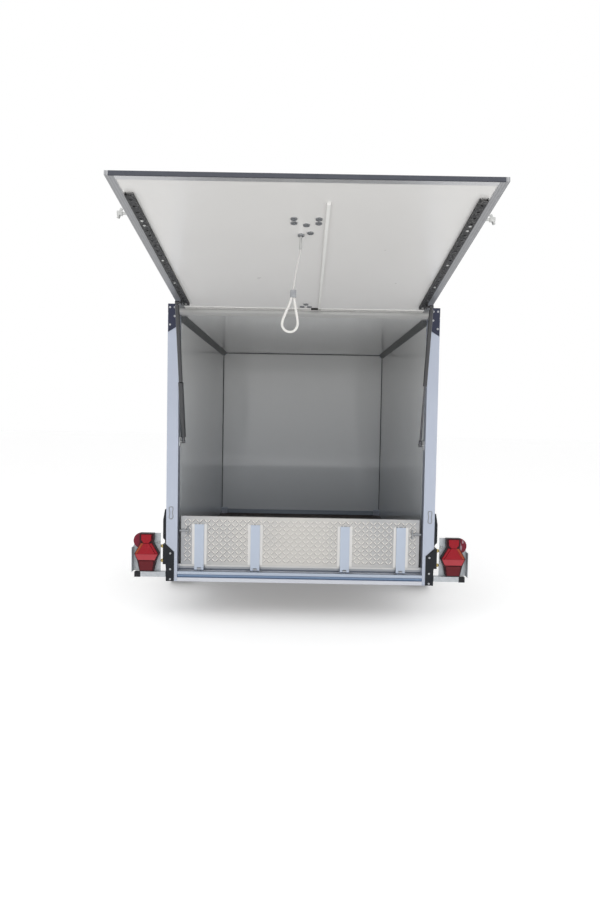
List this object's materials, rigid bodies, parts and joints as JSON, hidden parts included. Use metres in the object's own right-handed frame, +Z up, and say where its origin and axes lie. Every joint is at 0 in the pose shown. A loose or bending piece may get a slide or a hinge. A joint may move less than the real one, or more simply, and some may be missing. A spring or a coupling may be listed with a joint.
{
  "type": "box trailer",
  "caption": "Single-axle sandwich-panel box trailer, parked on its jockey wheel with its top-hung tailgate raised on gas struts above a low chequer-plate drop flap.",
  "frame": {"origin": "on the ground under the middle of the whole trailer's box, with the tailgate open", "axes": "+X to the trailer's right seen from behind, +Y forward along the drawbar, +Z up"},
  "size_m": [1.7, 4.5814, 1.7898],
  "materials": {
    "panel_white": "smooth gel-coated sandwich panel",
    "floor_ply": "film-faced plywood with a wire-mesh grip",
    "alu_anodised": "satin anodised extrusion with a bluish cast",
    "alu_chequer": "chequer plate with raised five-bar pattern",
    "alu_strap": "mill-finish pressed hat section",
    "black_steel": "black powder coat",
    "navy_steel": "dark blue-black powder coat",
    "zinc_steel": "bright zinc plate",
    "galvanised": "hot-dip galvanised, faint spangle",
    "dark_trim": "dark grey extruded plastic",
    "seal_rubber": "slate grey sealing rubber",
    "black_rubber": "black moulded rubber",
    "strut_black": "semi-gloss black",
    "rod_chrome": "hard chrome",
    "duct_white": "white extruded plastic",
    "rope_white": "braided white cord",
    "lamp_black": "black moulded plastic",
    "lens_red": "clear red moulded lens",
    "lens_amber": "clear amber moulded lens",
    "tyre_rubber": "road tyre",
    "rim_steel": "silver lacquered pressed steel",
    "mudguard": "black moulded plastic"
  },
  "bodies": {
    "root": {"floor": "floor_ply", "sidewall_right": "panel_white", "sidewall_left": "panel_white", "bulkhead": "panel_white", "roof": "panel_white", "roof_coves": "dark_trim", "bulkhead_profile": "alu_anodised", "corner_angles": "alu_anodised", "roof_angles": "alu_anodised", "base_rails": "alu_anodised", "post_right": "alu_anodised", "post_left": "alu_anodised", "header": "alu_anodised", "sill": "alu_anodised", "flap_hinge_rod": "zinc_steel", "hinge_plates": "navy_steel", "corner_plates": "black_steel", "latch_levers": "black_steel", "latch_loops": "zinc_steel", "lamp_brackets": "galvanised", "lamp_housings": "lamp_black", "lamp_lenses": "lens_red", "lamp_indicators": "lens_amber", "strut_studs": "zinc_steel", "axle": "galvanised", "mudguards": "mudguard", "drawbar": "galvanised", "coupling": "zinc_steel", "coupling_handle": "black_steel", "jockey_tube": "zinc_steel", "jockey_clamp": "galvanised", "jockey_crank": "zinc_steel"},
    "tailgate": {"tailgate_frame": "alu_anodised", "tailgate_panel": "panel_white", "tailgate_seal": "seal_rubber", "tailgate_rails": "black_steel", "latch_knobs": "zinc_steel", "bolt_cups": "zinc_steel", "cable_duct": "duct_white", "cable_gland": "black_rubber", "rope_eyelet": "zinc_steel", "pull_rope": "rope_white", "rope_crimp": "zinc_steel"},
    "strut_barrel_right": {"strut_cylinder_right": "strut_black"},
    "strut_barrel_left": {"strut_cylinder_left": "strut_black"},
    "strut_plunger_right": {"strut_rod_right": "rod_chrome"},
    "strut_plunger_left": {"strut_rod_left": "rod_chrome", "strut_sleeve_left": "strut_black"},
    "flap": {"flap_plate": "alu_chequer", "flap_straps": "alu_strap", "flap_bolts": "zinc_steel"},
    "wheel_right": {"tyre_right": "tyre_rubber", "rim_right": "rim_steel"},
    "wheel_left": {"tyre_left": "tyre_rubber", "rim_left": "rim_steel"},
    "jockey_leg": {"jockey_leg": "zinc_steel"},
    "jockey_fork": {"jockey_fork": "zinc_steel"},
    "jockey_wheel": {"jockey_wheel": "black_rubber"}
  },
  "joints": [
    {"name": "wheel_right_spin", "type": "hinge", "parent": "root", "child": "wheel_right", "pos_m": [0.7495, -0.0185, 0.243], "axis": [1, 0, 0], "continuous": true},
    {"name": "wheel_left_spin", "type": "hinge", "parent": "root", "child": "wheel_left", "pos_m": [-0.7495, -0.0185, 0.243], "axis": [1, 0, 0], "continuous": true},
    {"name": "tailgate_hinge", "type": "hinge", "parent": "root", "child": "tailgate", "pos_m": [0, -0.9585, 1.591], "axis": [-1, 0, 0], "range_deg": [-98.2, 0]},
    {"name": "flap_hinge", "type": "hinge", "parent": "root", "child": "flap", "pos_m": [0, -0.9055, 0.268], "axis": [1, 0, 0], "range_deg": [0, 92]},
    {"name": "strut_right_pivot", "type": "hinge", "parent": "tailgate", "child": "strut_barrel_right", "pos_m": [0.603, -1.11082, 1.58567], "axis": [-1, 0, 0], "range_deg": [-0.5, 112.43]},
    {"name": "strut_right_stroke", "type": "slide", "parent": "strut_barrel_right", "child": "strut_plunger_right", "axis": [0, 0.3163, -0.9486], "range_m": [-0.17999, 0.001]},
    {"name": "strut_left_pivot", "type": "hinge", "parent": "tailgate", "child": "strut_barrel_left", "pos_m": [-0.603, -1.11082, 1.58567], "axis": [-1, 0, 0], "range_deg": [-0.5, 112.43]},
    {"name": "strut_left_stroke", "type": "slide", "parent": "strut_barrel_left", "child": "strut_plunger_left", "axis": [0, 0.3163, -0.9486], "range_m": [-0.17999, 0.001]},
    {"name": "jockey_jack", "type": "slide", "parent": "root", "child": "jockey_leg", "axis": [0, 0, 1], "range_m": [0, 0.103]},
    {"name": "jockey_swivel", "type": "hinge", "parent": "jockey_leg", "child": "jockey_fork", "pos_m": [0.096, 1.9465, 0.1], "axis": [0, 0, 1], "continuous": true},
    {"name": "jockey_roll", "type": "hinge", "parent": "jockey_fork", "child": "jockey_wheel", "pos_m": [0.096, 1.9085, 0.1], "axis": [1, 0, 0], "continuous": true}
  ],
  "couplings": [
    {"joint": "strut_right_pivot", "follows": "tailgate_hinge", "ratio": -1.1398},
    {"joint": "strut_right_stroke", "follows": "tailgate_hinge", "m_per_rad": 0.10444},
    {"joint": "strut_left_pivot", "follows": "tailgate_hinge", "ratio": -1.1398},
    {"joint": "strut_left_stroke", "follows": "tailgate_hinge", "m_per_rad": 0.10444}
  ]
}
